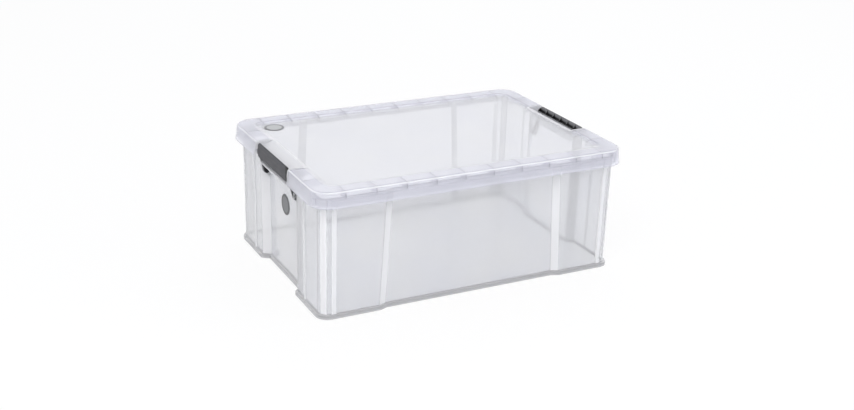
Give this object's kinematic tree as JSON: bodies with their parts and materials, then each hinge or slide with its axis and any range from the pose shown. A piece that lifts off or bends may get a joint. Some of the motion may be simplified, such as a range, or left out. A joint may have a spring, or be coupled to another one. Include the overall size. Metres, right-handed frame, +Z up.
{
  "type": "plastic storage box",
  "caption": "Low translucent plastic storage box with recessed end and side walls, a lift-off lid with a skirt and a slightly sunken middle, and clip handles that hook over the lid at both ends.",
  "frame": {"origin": "on the floor under the middle of the box", "axes": "+X along the box's length towards the right clip handle, +Y across its width away from the front, +Z up"},
  "size_m": [0.667, 0.469, 0.255],
  "materials": {
    "clear_plastic": "translucent frosted polypropylene",
    "clip_plastic": "fine moulded grain",
    "disc_plastic": "smooth satin"
  },
  "bodies": {
    "tub_body": {"tub": "clear_plastic", "end_disc": "disc_plastic"},
    "lid_body": {"lid": "clear_plastic", "lid_disc": "disc_plastic"},
    "left_clip_body": {"left_clip": "clip_plastic"},
    "right_clip_body": {"right_clip": "clip_plastic"}
  },
  "joints": [
    {"name": "lid_lift", "type": "slide", "parent": "tub_body", "child": "lid_body", "axis": [0, 0, 1], "range_m": [0, 0.26]},
    {"name": "left_clip_turn", "type": "hinge", "parent": "tub_body", "child": "left_clip_body", "pos_m": [-0.312, 0, 0.195], "axis": [0, -1, 0], "range_deg": [0, 160]},
    {"name": "right_clip_turn", "type": "hinge", "parent": "tub_body", "child": "right_clip_body", "pos_m": [0.312, 0, 0.195], "axis": [0, 1, 0], "range_deg": [0, 160]}
  ]
}
